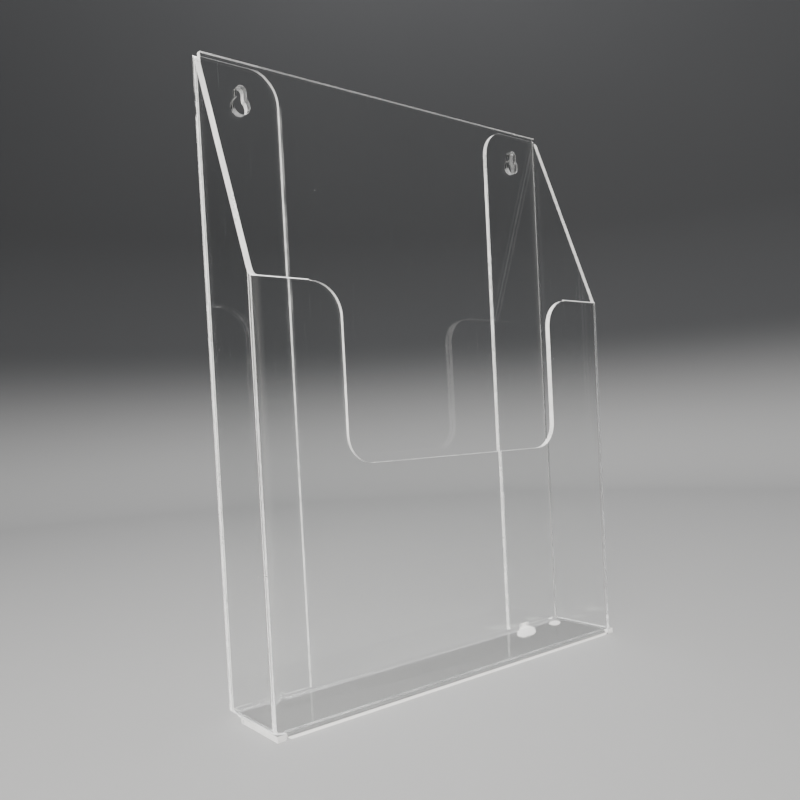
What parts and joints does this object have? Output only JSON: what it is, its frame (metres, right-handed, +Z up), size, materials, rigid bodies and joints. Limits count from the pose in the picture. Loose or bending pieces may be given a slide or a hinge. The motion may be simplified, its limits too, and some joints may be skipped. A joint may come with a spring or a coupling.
{
  "type": "magazine rack",
  "caption": "Clear wall-hung magazine rack: a wrapped front and sides with a U-shaped finger cut-out, a bent back and base, and keyhole flanges.",
  "frame": {"origin": "centre of the footprint, on the underside of the base", "axes": "+X to the viewer's right across the rack, -Y out of the front, +Y towards the wall, +Z up"},
  "size_m": [0.24, 0.05, 0.32],
  "materials": {
    "clear_sheet": "polished clear acrylic with satin cut edges",
    "cured_cement": "slightly milky cured solvent cement"
  },
  "bodies": {
    "root": {"front_wrap": "clear_sheet", "back_and_base": "clear_sheet", "front_cement_bead": "cured_cement", "left_cement_bead": "cured_cement", "right_cement_bead": "cured_cement", "left_flange_bead": "cured_cement", "right_flange_bead": "cured_cement"}
  },
  "joints": []
}
